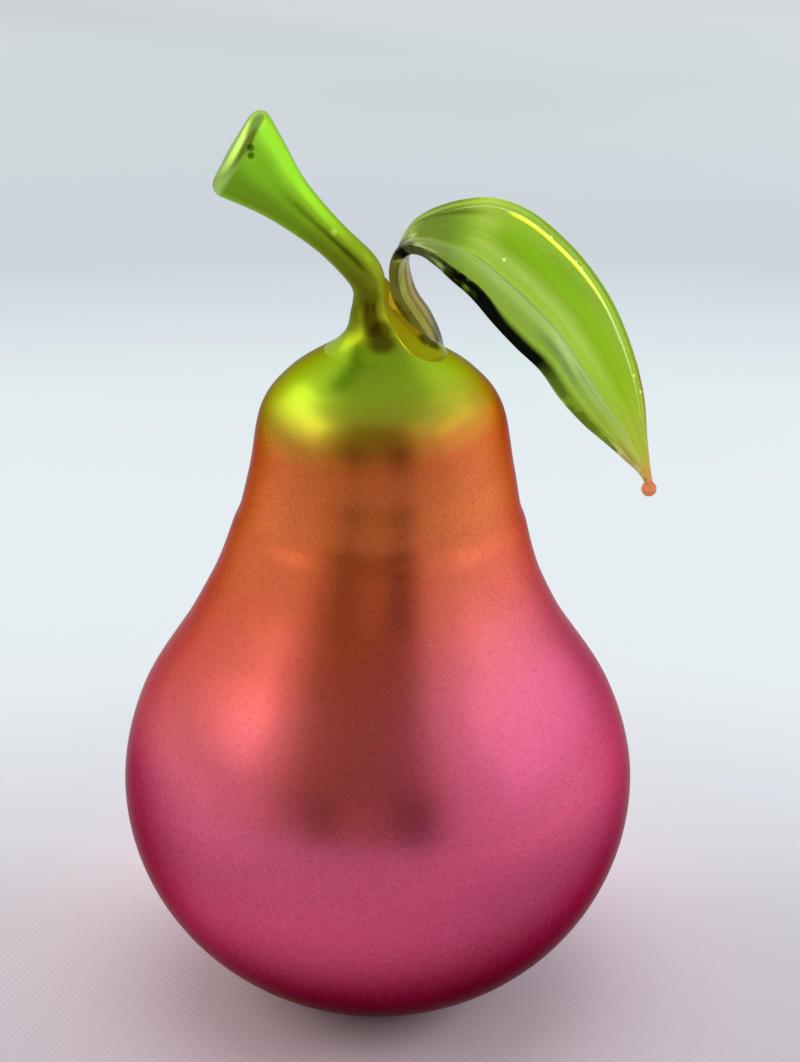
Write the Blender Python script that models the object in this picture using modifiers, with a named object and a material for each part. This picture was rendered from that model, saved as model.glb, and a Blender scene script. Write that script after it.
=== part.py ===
"""A blown-glass pear with a drawn glass stem and a folded glass leaf, in metres, +Z up.

The origin is the centre of the ground flat that the pear stands on. X runs towards the leaf, and the
stem leans towards -X. The front, where the leaf's root lies against the stem, looks along -Y.
"""

import math

import bmesh
import bpy
import numpy as np

# Body: a blown bubble, widest at the belly, with a flat land at the top that the stem is stuck onto
BELLY_RADIUS = 0.0550
BELLY_DEPTH = 0.0516
FOOT_RADIUS = 0.0160
TOP_HEIGHT = 0.1475
LAND_RADIUS = 0.0095
NECK_HOLE_RADIUS = 0.0050
WALL = 0.0040
BODY_SIDES = 44
BELLY_STEPS = 9
FLANK_STEPS = 2
BELLY_HEIGHT = BELLY_DEPTH * math.sqrt(1 - (FOOT_RADIUS / BELLY_RADIUS) ** 2)

# The outline above the belly: radius and height, up the flank and neck, and over the shoulder
FLANK = [
    (BELLY_RADIUS, BELLY_HEIGHT),
    (0.0508, 0.0685),
    (0.0391, 0.0877),
    (0.0313, 0.1049),
    (0.0276, 0.1202),
    (0.0250, 0.1336),
    (0.0197, 0.1409),
    (0.0125, 0.1462),
    (LAND_RADIUS, TOP_HEIGHT),
]
FLANK_RISE_AT_BELLY = (0.0, 0.0190)

# How far the hand-worked axis wanders sideways: height and X offset
SWAY = [(0.0, 0.0), (0.050, -0.0002), (0.085, -0.0006), (0.125, 0.0009), (0.200, 0.0009)]

# Pieces that touch keep this gap
CLEARANCE = 0.0003

# Stem: X, height and radius at each station, from the flared root to past the sheared end
STEM = [
    (-0.0012, TOP_HEIGHT + CLEARANCE, 0.0089),
    (-0.0012, 0.1487, 0.0070),
    (-0.0012, 0.1504, 0.0054),
    (-0.0012, 0.1527, 0.0043),
    (-0.0012, 0.1557, 0.0036),
    (-0.0015, 0.1592, 0.0035),
    (-0.0033, 0.1631, 0.0038),
    (-0.0085, 0.1685, 0.0037),
    (-0.0134, 0.1731, 0.0043),
    (-0.0189, 0.1782, 0.0057),
    (-0.0245, 0.1836, 0.0081),
    (-0.0286, 0.1874, 0.0093),
    (-0.0330, 0.1914, 0.0099),
]
STEM_STEPS = 2
STEM_BEVEL_RESOLUTION = 8
STEM_END = (-0.0284, 0.0, 0.1871)
STEM_END_FACING = (-0.86, 0.0, 0.51)
STEM_RIM_ROUNDING = 0.0018
STEM_RIM_SEGMENTS = 3
STEM_FLATTENING = 0.34
STEM_BEND_HEIGHT = 0.1640
STEM_ROOT_SHIFT = 0.0021
STEM_NECK_HEIGHT = 0.1560

# Leaf: the front and the back edge of the strap, from the root on the shoulder, up beside the stem,
# over the loop and along the blade to the drawn-out tip
LEAF_FRONT = [
    (0.0124, -0.0062, 0.1436),
    (0.0094, -0.0065, 0.1496),
    (0.0064, -0.0055, 0.1537),
    (0.0038, -0.0045, 0.1581),
    (0.0032, -0.0045, 0.1627),
    (0.0038, -0.0055, 0.1660),
    (0.0058, -0.0070, 0.1683),
    (0.0086, -0.0085, 0.1683),
    (0.0113, -0.0105, 0.1670),
    (0.0148, -0.0130, 0.1645),
    (0.0191, -0.0145, 0.1611),
    (0.0236, -0.0155, 0.1561),
    (0.0282, -0.0160, 0.1513),
    (0.0328, -0.0160, 0.1468),
    (0.0368, -0.0150, 0.1406),
    (0.0412, -0.0135, 0.1351),
    (0.0457, -0.0120, 0.1305),
    (0.0501, -0.0100, 0.1259),
    (0.0532, -0.0085, 0.1225),
    (0.0549, -0.0078, 0.1200),
    (0.0554, -0.0075, 0.1182),
]
LEAF_BACK = [
    (0.0132, 0.0015, 0.1430),
    (0.0123, 0.0015, 0.1485),
    (0.0103, 0.0025, 0.1530),
    (0.0076, 0.0030, 0.1570),
    (0.0060, 0.0030, 0.1617),
    (0.0057, 0.0030, 0.1657),
    (0.0061, 0.0030, 0.1682),
    (0.0076, 0.0035, 0.1712),
    (0.0109, 0.0045, 0.1735),
    (0.0168, 0.0060, 0.1753),
    (0.0236, 0.0070, 0.1757),
    (0.0309, 0.0080, 0.1729),
    (0.0382, 0.0080, 0.1669),
    (0.0438, 0.0075, 0.1605),
    (0.0484, 0.0055, 0.1535),
    (0.0520, 0.0030, 0.1449),
    (0.0542, 0.0000, 0.1366),
    (0.0550, -0.0030, 0.1281),
    (0.0556, -0.0055, 0.1233),
    (0.0560, -0.0064, 0.1198),
    (0.0560, -0.0066, 0.1181),
]
RAIL_STEPS = 8
LEAF_ROWS = 40
LEAF_SECTION_POINTS = 24
RIM_FULLNESS = 0.4
MIDRIB_PLACE = -0.12
MIDRIB_DEPTH = 0.105
RIM_CREST = 0.040
RIM_DROP = 0.020

# Along the leaf, from 0 at the root to 1 at the tip: the share of the full bow, and the thickness
LEAF_ALONG = [0.00, 0.28, 0.45, 0.80, 1.00]
LEAF_BOW = [0.25, 0.35, 1.00, 1.00, 0.00]
LEAF_THICKNESS = [0.0028, 0.0028, 0.0025, 0.0023, 0.0016]
TIP_BEAD_CENTRE = (0.0557, -0.0070, 0.1182)
TIP_BEAD_RADIUS = 0.0016

# The leaf's root: a tongue of glass pressed down the front of the stem. X, Y, height and radius
TONGUE = [
    (0.0015, -0.0012, 0.1605, 0.0009),
    (0.0025, -0.0018, 0.1573, 0.0014),
    (0.0041, -0.0028, 0.1537, 0.0020),
    (0.0062, -0.0046, 0.1509, 0.0024),
    (0.0086, -0.0062, 0.1486, 0.0025),
    (0.0111, -0.0058, 0.1473, 0.0022),
    (0.0128, -0.0040, 0.1464, 0.0015),
]
TONGUE_STEPS = 2
TONGUE_BEVEL_RESOLUTION = 5

MERGE_DISTANCE = 0.00001
SHARP_ANGLE = math.radians(40)

# The finishes: colour, roughness, metallic and transmission
BODY_FINISH = ((0.52, 0.08, 0.11), 0.38, 0.75, 0.0)
STEM_FINISH = ((0.24, 0.50, 0.03), 0.30, 0.0, 0.6)
LEAF_FINISH = ((0.33, 0.50, 0.05), 0.10, 0.0, 0.8)


def clear_scene():
    """Removes the startup objects, and makes the collections for the parts and for the helpers."""
    for old in list(bpy.data.objects):
        bpy.data.objects.remove(old)
    made = []
    for name in ("glass_pear", "cutters"):
        collection = bpy.data.collections.new(name)
        bpy.context.scene.collection.children.link(collection)
        made.append(collection)
    return made


def glass(name, colour, roughness, metallic, transmission):
    """A Principled material with the piece's finish."""
    made = bpy.data.materials.new(name)
    made.use_nodes = True
    shader = made.node_tree.nodes["Principled BSDF"]
    shader.inputs["Base Color"].default_value = (*colour, 1.0)
    shader.inputs["Roughness"].default_value = roughness
    shader.inputs["Metallic"].default_value = metallic
    shader.inputs["Transmission Weight"].default_value = transmission
    return made


def smooth(knots, steps, first=None):
    """Points on a smooth curve through the knots, with a number of steps from one knot to the next."""
    knots = np.array(knots, float)
    slopes = np.gradient(knots, axis=0)
    if first is not None:
        slopes[0] = first
    t = (np.arange(steps) / steps)[:, None]
    points = []
    for a, b, slope_a, slope_b in zip(knots, knots[1:], slopes, slopes[1:]):
        points.extend(
            (2 * t**3 - 3 * t**2 + 1) * a
            + (t**3 - 2 * t**2 + t) * slope_a
            + (3 * t**2 - 2 * t**3) * b
            + (t**3 - t**2) * slope_b
        )
    points.append(knots[-1])
    return np.array(points)


def smoothstep(x):
    x = np.clip(x, 0.0, 1.0)
    return x * x * (3 - 2 * x)


def sway(z):
    """The X offset of the body's axis at a height, easing from each stated height to the next."""
    for (z0, x0), (z1, x1) in zip(SWAY, SWAY[1:]):
        if z <= z1:
            return x0 + (x1 - x0) * float(smoothstep((z - z0) / (z1 - z0)))
    return SWAY[-1][1]


def new_object(name, data, collection):
    made = bpy.data.objects.new(name, data)
    collection.objects.link(made)
    return made


def from_bmesh(name, bm, collection):
    mesh = bpy.data.meshes.new(name)
    bm.to_mesh(mesh)
    bm.free()
    return new_object(name, mesh, collection)


def settled(obj):
    """Turns a curve, or a mesh with modifiers, into a plain welded mesh of the same name and place."""
    bpy.context.view_layer.update()
    evaluated = obj.evaluated_get(bpy.context.evaluated_depsgraph_get())
    mesh = bpy.data.meshes.new_from_object(evaluated)
    bm = bmesh.new()
    bm.from_mesh(mesh)
    bmesh.ops.remove_doubles(bm, verts=bm.verts, dist=MERGE_DISTANCE)
    bm.to_mesh(mesh)
    bm.free()
    name, place, collection = obj.name, obj.matrix_world.copy(), obj.users_collection[0]
    bpy.data.objects.remove(obj)
    made = new_object(name, mesh, collection)
    made.matrix_world = place
    return made


def turned(name, profile, collection):
    """Turns an outline round Z. It runs from the top down the outer side, so its faces point out."""
    bm = bmesh.new()
    line = [bm.verts.new((r, 0.0, z)) for r, z in profile]
    for a, b in zip(line, line[1:]):
        bm.edges.new((a, b))
    made = from_bmesh(name, bm, collection)
    screw = made.modifiers.new("turn", "SCREW")
    screw.steps = BODY_SIDES
    screw.render_steps = BODY_SIDES
    screw.use_merge_vertices = True
    screw.merge_threshold = MERGE_DISTANCE
    return made


def tube(name, stations, steps, resolution, collection):
    """A round bar through stations of X, Y, height and radius, with closed ends."""
    curve = bpy.data.curves.new(name, "CURVE")
    curve.dimensions = "3D"
    curve.bevel_depth = 1.0
    curve.bevel_resolution = resolution
    curve.use_fill_caps = True
    points = smooth(stations, steps)
    spline = curve.splines.new("POLY")
    spline.points.add(len(points) - 1)
    for point, (x, y, z, radius) in zip(spline.points, points):
        point.co = (x, y, z, 1.0)
        point.radius = radius
    return settled(new_object(name, curve, collection))


def boolean(obj, operation, other):
    """Joins or cuts with another object, and turns that one into a hidden helper."""
    modifier = obj.modifiers.new(operation.lower(), "BOOLEAN")
    modifier.operation = operation
    modifier.solver = "EXACT"
    modifier.object = other
    other.hide_render = True
    other.display_type = "WIRE"


def outer_outline():
    """The body's outer side from the edge of the top land down to the centre of the foot."""
    flank = smooth(FLANK, FLANK_STEPS, first=FLANK_RISE_AT_BELLY)
    start = math.asin(FOOT_RADIUS / BELLY_RADIUS)
    angles = np.linspace(start, math.pi / 2, BELLY_STEPS + 1)[:-1]
    belly = [
        (BELLY_RADIUS * math.sin(a), BELLY_HEIGHT - BELLY_DEPTH * math.cos(a))
        for a in angles
    ]
    return [tuple(p) for p in flank[::-1]] + belly[::-1] + [(0.0, 0.0)]


def swayed(obj):
    """Moves a settled body sideways by the wander of its axis."""
    for vertex in obj.data.vertices:
        vertex.co.x += sway(vertex.co.z)
    return obj


def make_body(parts):
    """The blown shell. Its neck stays open under the stem, as where it was cracked off the pipe."""
    outline = [(NECK_HOLE_RADIUS, TOP_HEIGHT)] + outer_outline()
    body = turned("pear_body", outline, parts)
    shell = body.modifiers.new("wall", "SOLIDIFY")
    shell.thickness = WALL
    shell.offset = -1.0
    shell.use_even_offset = True
    return swayed(settled(body))


def cut_flat(bm, point, facing):
    """Cuts a mesh off at a plane, closes it, and returns the edges round the new face."""
    cut = bmesh.ops.bisect_plane(
        bm,
        geom=bm.verts[:] + bm.edges[:] + bm.faces[:],
        plane_co=point,
        plane_no=facing,
        clear_outer=True,
    )["geom_cut"]
    rim = [e for e in cut if isinstance(e, bmesh.types.BMEdge)]
    bmesh.ops.holes_fill(bm, edges=rim, sides=0)
    return rim


def make_stem(parts):
    """The stem: a bar pulled up from a flared root, bent over, and sheared to an oval end."""
    stations = [(x, 0.0, z, radius) for x, z, radius in STEM]
    stem = tube("stem", stations, STEM_STEPS, STEM_BEVEL_RESOLUTION, parts)
    for vertex in stem.data.vertices:
        drop = (STEM_NECK_HEIGHT - vertex.co.z) / (STEM_NECK_HEIGHT - TOP_HEIGHT)
        vertex.co.x += STEM_ROOT_SHIFT * float(smoothstep(drop))
        rise = (vertex.co.z - STEM_BEND_HEIGHT) / (STEM_END[2] - STEM_BEND_HEIGHT)
        vertex.co.y *= 1 - STEM_FLATTENING * float(smoothstep(rise))
    bm = bmesh.new()
    bm.from_mesh(stem.data)
    rim = cut_flat(bm, STEM_END, STEM_END_FACING)
    bmesh.ops.bevel(
        bm,
        geom=rim,
        offset=STEM_RIM_ROUNDING,
        segments=STEM_RIM_SEGMENTS,
        profile=0.5,
        affect="EDGES",
    )
    bm.to_mesh(stem.data)
    bm.free()
    return stem


def leaf_bow(place):
    """How far the leaf bows up at a place across it, from -1 at the front edge to 1 at the back.

    It is a share of the leaf's width: a valley along the midrib, a crest, and rims that turn down.
    """
    reach = 1 - MIDRIB_PLACE if place > MIDRIB_PLACE else 1 + MIDRIB_PLACE
    out = abs(place - MIDRIB_PLACE) / reach
    valley = MIDRIB_DEPTH * (1 - out) ** 2
    crest = RIM_CREST * 4 * out * out * (1 - out)
    return crest - valley - RIM_DROP * out**6


def evenly_spaced(points, line, count):
    """The points at equal steps of length along a line that runs beside them."""
    steps = np.linalg.norm(np.diff(line, axis=0), axis=1)
    travelled = np.concatenate([[0.0], np.cumsum(steps)])
    places = np.linspace(0.0, travelled[-1], count + 1)
    return np.stack([np.interp(places, travelled, points[:, i]) for i in range(3)], axis=1)


def leaf_strap(parts):
    """The strap and blade: a grid wrapped into a flat tube whose rims follow the two edges."""
    front = smooth(LEAF_FRONT, RAIL_STEPS)
    back = smooth(LEAF_BACK, RAIL_STEPS)
    line = (front + back) / 2
    front = evenly_spaced(front, line, LEAF_ROWS)
    back = evenly_spaced(back, line, LEAF_ROWS)
    along = np.gradient((front + back) / 2, axis=0)
    shares = np.linspace(0.0, 1.0, LEAF_ROWS + 1)
    bows = np.interp(shares, LEAF_ALONG, LEAF_BOW)
    half_thick = np.interp(shares, LEAF_ALONG, LEAF_THICKNESS) / 2
    bm = bmesh.new()
    bmesh.ops.create_grid(
        bm, x_segments=LEAF_ROWS, y_segments=LEAF_SECTION_POINTS, size=1.0
    )
    for vertex in bm.verts:
        row = round((vertex.co.x + 1) / 2 * LEAF_ROWS)
        turn = math.pi * (vertex.co.y + 1)
        place = math.cos(turn) + MIDRIB_PLACE * math.sin(turn) ** 2
        face = math.copysign(abs(math.sin(turn)) ** RIM_FULLNESS, math.sin(turn))
        across = back[row] - front[row]
        up = np.cross(along[row], across)
        up = up / np.linalg.norm(up)
        lift = leaf_bow(place) * bows[row] * np.linalg.norm(across) + face * half_thick[row]
        vertex.co = front[row] + across * (place + 1) / 2 + up * lift
    bmesh.ops.remove_doubles(bm, verts=bm.verts, dist=MERGE_DISTANCE)
    bmesh.ops.holes_fill(bm, edges=bm.edges, sides=0)
    bmesh.ops.recalc_face_normals(bm, faces=bm.faces)
    return from_bmesh("leaf", bm, parts)


def make_leaf(parts, cutters):
    """The leaf: strap and blade, the tongue that roots it, and the bead at its drawn-out tip."""
    leaf = leaf_strap(parts)
    tongue = tube(
        "tongue", TONGUE, TONGUE_STEPS, TONGUE_BEVEL_RESOLUTION, cutters
    )
    bm = bmesh.new()
    bmesh.ops.create_uvsphere(
        bm, u_segments=14, v_segments=8, radius=TIP_BEAD_RADIUS
    )
    bmesh.ops.translate(bm, verts=bm.verts, vec=TIP_BEAD_CENTRE)
    bead = from_bmesh("tip_bead", bm, cutters)
    for piece in (tongue, bead):
        boolean(leaf, "UNION", piece)
    return leaf


def cut_clear(leaf, stem, cutters):
    """Cuts the leaf's root back to a small gap from the body and the stem."""
    body_envelope = turned(
        "body_envelope", [(0.0, TOP_HEIGHT)] + outer_outline(), cutters
    )
    stem_envelope = new_object("stem_envelope", stem.data.copy(), cutters)
    for envelope in (swayed(settled(body_envelope)), stem_envelope):
        swell = envelope.modifiers.new("gap", "DISPLACE")
        swell.strength = CLEARANCE
        swell.mid_level = 0.0
        boolean(leaf, "DIFFERENCE", envelope)


def finish(obj, material):
    """Gives the piece its material, and shades it smooth with its real edges left sharp."""
    obj.data.materials.clear()
    obj.data.materials.append(material)
    obj.data.shade_smooth()
    obj.data.set_sharp_from_angle(angle=SHARP_ANGLE)


def main():
    parts, cutters = clear_scene()
    body = make_body(parts)
    stem = make_stem(parts)
    leaf = make_leaf(parts, cutters)
    cut_clear(leaf, stem, cutters)
    finish(body, glass("satin_lustre", *BODY_FINISH))
    finish(stem, glass("stem_green", *STEM_FINISH))
    finish(leaf, glass("leaf_green", *LEAF_FINISH))


main()
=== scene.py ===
import math

import bmesh
import bpy
import numpy as np
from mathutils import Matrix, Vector


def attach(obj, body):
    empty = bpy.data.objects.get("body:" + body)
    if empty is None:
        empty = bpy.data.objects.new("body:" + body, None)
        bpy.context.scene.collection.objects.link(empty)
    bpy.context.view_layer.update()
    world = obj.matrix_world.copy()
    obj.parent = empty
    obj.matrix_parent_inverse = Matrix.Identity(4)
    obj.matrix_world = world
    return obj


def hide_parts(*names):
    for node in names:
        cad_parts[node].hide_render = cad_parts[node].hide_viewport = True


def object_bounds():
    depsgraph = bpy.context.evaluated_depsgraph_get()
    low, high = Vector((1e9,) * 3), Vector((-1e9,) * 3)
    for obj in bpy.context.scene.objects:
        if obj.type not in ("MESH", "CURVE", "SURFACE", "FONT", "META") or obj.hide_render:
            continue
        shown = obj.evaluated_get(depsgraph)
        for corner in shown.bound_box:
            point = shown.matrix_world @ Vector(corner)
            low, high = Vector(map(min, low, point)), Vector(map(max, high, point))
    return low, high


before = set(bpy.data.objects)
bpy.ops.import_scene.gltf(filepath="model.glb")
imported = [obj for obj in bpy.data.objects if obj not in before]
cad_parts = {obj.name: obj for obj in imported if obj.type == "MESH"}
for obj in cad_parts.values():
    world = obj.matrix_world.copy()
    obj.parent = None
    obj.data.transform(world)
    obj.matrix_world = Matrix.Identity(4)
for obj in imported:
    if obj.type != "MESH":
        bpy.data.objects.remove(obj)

solid_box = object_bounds()
low_corner, high_corner = ([round(v, 4) for v in corner] for corner in solid_box)
print("the solids reach from", low_corner, "to", high_corner)

# %% [markdown]
# A glass pear, blown and worked by hand. Three pieces of hot glass make it: a blown bubble for the
# body, a solid bar pulled up into the stem, and a flat strap folded over into the leaf. The packed
# solids give each piece its place and size, and this lesson builds the fine surface that is seen.
# Everything is in metres, with +Z up, and the pear stands on the origin.

# %% Heights and widths of the body
MM = 0.001
BELLY_RADIUS = 55 * MM
BELLY_DEPTH = 51.6 * MM
FOOT_RADIUS = 16 * MM
TOP_HEIGHT = 147.0 * MM
NECK_HOLE_RADIUS = 5 * MM
WALL = 4 * MM
BELLY_HEIGHT = BELLY_DEPTH * math.sqrt(1 - (FOOT_RADIUS / BELLY_RADIUS) ** 2)
FLANK = [
    (BELLY_RADIUS, BELLY_HEIGHT),
    (0.0508, 0.0685),
    (0.0391, 0.0877),
    (0.0313, 0.1049),
    (0.0276, 0.1202),
    (0.0250, 0.1336),
    (0.0197, 0.1407),
    (0.0127, 0.1455),
    (0.0095, TOP_HEIGHT),
]
BELLY_SLOPE = (0.0, 0.0190)
SWAY = [(0.0, 0.0), (0.050, -0.0002), (0.085, -0.0006), (0.125, 0.0009), (0.200, 0.0009)]
print("belly", BELLY_RADIUS, "at height", round(BELLY_HEIGHT, 4))

# %% [markdown]
# Hand-blown curves have no corners, so each outline is written as a few knots that a maker could
# measure with calipers, and a smooth curve is drawn through them. The slope at a knot is half the
# step between its neighbours, so the curve passes each knot without a corner.


# %% A smooth curve through measured knots
def smooth(knots, steps, first=None):
    knots = np.array(knots, float)
    slopes = np.gradient(knots, axis=0)
    if first is not None:
        slopes[0] = first
    t = (np.arange(steps) / steps)[:, None]
    points = []
    for a, b, slope_a, slope_b in zip(knots, knots[1:], slopes, slopes[1:]):
        points.extend(
            (2 * t**3 - 3 * t**2 + 1) * a
            + (t**3 - 2 * t**2 + t) * slope_a
            + (3 * t**2 - 2 * t**3) * b
            + (t**3 - t**2) * slope_b
        )
    points.append(knots[-1])
    return np.array(points)


def ease(x):
    x = min(max(float(x), 0.0), 1.0)
    return x * x * (3 - 2 * x)


def evenly_spaced(points, line, count):
    steps = np.linalg.norm(np.diff(line, axis=0), axis=1)
    travelled = np.concatenate([[0.0], np.cumsum(steps)])
    places = np.linspace(0.0, travelled[-1], count + 1)
    return np.stack([np.interp(places, travelled, points[:, i]) for i in range(points.shape[1])], axis=1)


# %% A loose piece, and a finished piece that takes a solid's place in the frame
def loose_piece(name, bm):
    mesh = bpy.data.meshes.new(name)
    bm.to_mesh(mesh)
    bm.free()
    piece = bpy.data.objects.new(name, mesh)
    bpy.context.scene.collection.objects.link(piece)
    return piece


def finish_piece(name, bm, node):
    piece = loose_piece(name, bm)
    piece.data.shade_smooth()
    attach(piece, "root")
    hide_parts(node)
    print(name, "has", len(piece.data.polygons), "faces")
    return piece


# %% [markdown]
# The body is a blown bubble, so it is a surface of revolution. Its outline is spun once round the
# upright axis, the doubled seam is merged, and only then does the skin get its wall, because the
# faces must point outwards first. Last, the axis wanders sideways by under a millimetre, as it does
# on any piece shaped by hand at the bench.


# %% The outline of the bubble, from the neck hole down to the foot
def bubble_outline(flank_steps, belly_steps):
    flank = smooth(FLANK, flank_steps, first=BELLY_SLOPE)
    start = math.asin(FOOT_RADIUS / BELLY_RADIUS)
    angles = np.linspace(math.pi / 2, start, belly_steps + 1)[1:]
    belly = [(BELLY_RADIUS * math.sin(a), BELLY_HEIGHT - BELLY_DEPTH * math.cos(a)) for a in angles]
    return [(NECK_HOLE_RADIUS, TOP_HEIGHT)] + [tuple(p) for p in flank[::-1]] + belly + [(0.0, 0.0)]


def sway(z):
    for (z0, x0), (z1, x1) in zip(SWAY, SWAY[1:]):
        if z <= z1:
            return x0 + (x1 - x0) * ease((z - z0) / (z1 - z0))
    return SWAY[-1][1]


# %% [markdown]
# Low on the neck the jacks left a faint raised ring. It is about half a millimetre high, steep above
# and gentle below, and it is seen only because its upper side turns towards the light.

# %% The faint ring at the foot of the neck
RING_HEIGHT = 0.55 * MM
RING_TOP, RING_CREST, RING_BOTTOM = 0.1125, 0.1080, 0.0960


def tool_ring(z):
    above = ease((RING_TOP - z) / (RING_TOP - RING_CREST))
    below = ease((z - RING_BOTTOM) / (RING_CREST - RING_BOTTOM))
    return RING_HEIGHT * above * below


# %% Spin the outline and give the glass its wall
BODY_SIDES, FLANK_STEPS, BELLY_STEPS = 160, 14, 40
LEAST_SWELL_RADIUS = 20 * MM
MERGE_DISTANCE = 1e-6
bm = bmesh.new()
line = [bm.verts.new((r, 0.0, z)) for r, z in bubble_outline(FLANK_STEPS, BELLY_STEPS)]
for a, b in zip(line, line[1:]):
    bm.edges.new((a, b))
bmesh.ops.spin(
    bm, geom=bm.verts[:] + bm.edges[:], cent=(0, 0, 0), axis=(0, 0, 1),
    angle=2 * math.pi, steps=BODY_SIDES, use_merge=True,
)
bmesh.ops.remove_doubles(bm, verts=bm.verts, dist=MERGE_DISTANCE)
bmesh.ops.recalc_face_normals(bm, faces=bm.faces)
bmesh.ops.solidify(bm, geom=bm.faces[:], thickness=WALL)
for vertex in bm.verts:
    swell = 1 + tool_ring(vertex.co.z) / max(vertex.co.xy.length, LEAST_SWELL_RADIUS)
    vertex.co.x = vertex.co.x * swell + sway(vertex.co.z)
    vertex.co.y *= swell
body = finish_piece("blown_body", bm, "pear_body")

# %% [markdown]
# The stem and the leaf are both drawn out of hot glass, so both are tubes whose section changes
# along the way. One helper makes them: a flat grid whose rows go along the piece and whose columns
# wrap round it. The two long edges of the grid meet and are merged, and the ends are closed. The grid
# also leaves a chart on the surface: U runs along the piece and V once round it.


# %% A grid wrapped into a tube
def wrapped_tube(rows, ring, place):
    bm = bmesh.new()
    bm.loops.layers.uv.new("chart")
    bmesh.ops.create_grid(bm, x_segments=rows, y_segments=ring, size=1.0, calc_uvs=True)
    for vertex in bm.verts:
        row = round((vertex.co.x + 1) / 2 * rows)
        vertex.co = place(row, math.pi * (vertex.co.y + 1))
    bmesh.ops.remove_doubles(bm, verts=bm.verts, dist=MERGE_DISTANCE)
    bmesh.ops.holes_fill(bm, edges=bm.edges, sides=0)
    bmesh.ops.recalc_face_normals(bm, faces=bm.faces)
    return bm


# %% [markdown]
# The stem was stuck on hot, pulled up thin, bent over to the left, and sheared off at a slant where
# it widens again. Its foot spreads over the shoulder until it meets it at the same slope, so no seam
# shows. The sheared end was fire-polished, so its rim is round and its face bulges a little. The rows
# of the grid are stretched until the last one lies in the plane of the shears, and some rows more
# curl over the rim and close the face.

# %% The stem's stations: X, height and radius
STEM = [
    (-0.0012, 0.1446, 0.0140),
    (-0.0012, 0.1456, 0.0125),
    (-0.0012, 0.1467, 0.0107),
    (-0.0012, 0.1480, 0.0090),
    (-0.0012, 0.1494, 0.0074),
    (-0.0012, 0.1509, 0.0061),
    (-0.0012, 0.1530, 0.0049),
    (-0.0012, 0.1559, 0.0038),
    (-0.0015, 0.1592, 0.0035),
    (-0.0033, 0.1631, 0.0038),
    (-0.0085, 0.1685, 0.0037),
    (-0.0134, 0.1731, 0.0043),
    (-0.0189, 0.1782, 0.0057),
    (-0.0245, 0.1836, 0.0084),
    (-0.0286, 0.1874, 0.0102),
    (-0.0330, 0.1914, 0.0108),
    (-0.0374, 0.1954, 0.0110),
]
STEM_END = Vector((-0.0287, 0.0, 0.1873))
STEM_END_FACING = Vector((-0.86, 0.0, 0.51)).normalized()
STEM_RIM_ROUNDING = 2.6 * MM
STEM_FACE_BULGE = 0.3 * MM
STEM_BEND_HEIGHT = 0.1640
STEM_NECK_HEIGHT = 0.1560
STEM_ROOT_SHIFT = 2.1 * MM
STEM_FLATTENING = 0.34
STEM_ROWS, RIM_ROWS, FACE_ROWS, STEM_RING = 120, 12, 8, 72
STEPS_PER_KNOT = 12

stem_curve = smooth(STEM, STEPS_PER_KNOT)
stem_line = evenly_spaced(stem_curve, stem_curve[:, :2], STEM_ROWS)
stem_way = np.gradient(stem_line[:, :2], axis=0)


def on_stem(row, turn):
    x, z, radius = stem_line[row]
    run, rise = stem_way[row] / np.linalg.norm(stem_way[row])
    out = radius * math.cos(turn)
    point = Vector((x + out * rise, radius * math.sin(turn), z - out * run))
    drop = ease((STEM_NECK_HEIGHT - point.z) / (STEM_NECK_HEIGHT - TOP_HEIGHT))
    climb = ease((point.z - STEM_BEND_HEIGHT) / (STEM_END.z - STEM_BEND_HEIGHT))
    point.x += STEM_ROOT_SHIFT * drop
    point.y *= 1 - STEM_FLATTENING * climb
    return point


# %% Where each line along the stem meets the shears
def cut_row(turn):
    beyond = [
        (on_stem(row, turn) - STEM_END).dot(STEM_END_FACING) + STEM_RIM_ROUNDING
        for row in range(STEM_ROWS + 1)
    ]
    last = next(row for row, depth in enumerate(beyond) if depth > 0)
    return last - 1 - beyond[last - 1] / (beyond[last] - beyond[last - 1])


def between_rows(row, turn):
    low = min(int(row), STEM_ROWS - 1)
    return on_stem(low, turn).lerp(on_stem(low + 1, turn), row - low)


cut_rows = [cut_row(2 * math.pi * step / STEM_RING) for step in range(STEM_RING)]
cut_edge = [between_rows(row, 2 * math.pi * step / STEM_RING) for step, row in enumerate(cut_rows)]
cut_centre = sum(cut_edge, Vector()) / STEM_RING
print("the shears cut the stem", round((cut_centre - cut_edge[0]).length * 2, 4), "m across")


def stem_point(row, turn):
    step = round(turn / (2 * math.pi) * STEM_RING) % STEM_RING
    if row <= STEM_ROWS:
        return between_rows(cut_rows[step] * row / STEM_ROWS, turn)
    inward = (cut_centre - cut_edge[step]).normalized()
    curl = min(1.0, (row - STEM_ROWS) / RIM_ROWS) * math.pi / 2
    point = cut_edge[step] + inward * STEM_RIM_ROUNDING * (1 - math.cos(curl))
    point += STEM_END_FACING * STEM_RIM_ROUNDING * math.sin(curl)
    closing = max(0.0, (row - STEM_ROWS - RIM_ROWS) / FACE_ROWS)
    middle = cut_centre + STEM_END_FACING * STEM_RIM_ROUNDING
    return point.lerp(middle, closing) + STEM_END_FACING * STEM_FACE_BULGE * ease(closing)


# %% Wrap the stem
bm = wrapped_tube(STEM_ROWS + RIM_ROWS + FACE_ROWS, STEM_RING, stem_point)
stem = finish_piece("drawn_stem", bm, "stem")

# %% [markdown]
# The leaf is a strap of clear glass. It starts on the shoulder beside the stem, climbs, loops over,
# and is squeezed flat into a blade with a crease down the middle and rolled rims. Two measured lines,
# its front rim and its back rim, carry the whole form, and the section between them is a formula.

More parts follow.
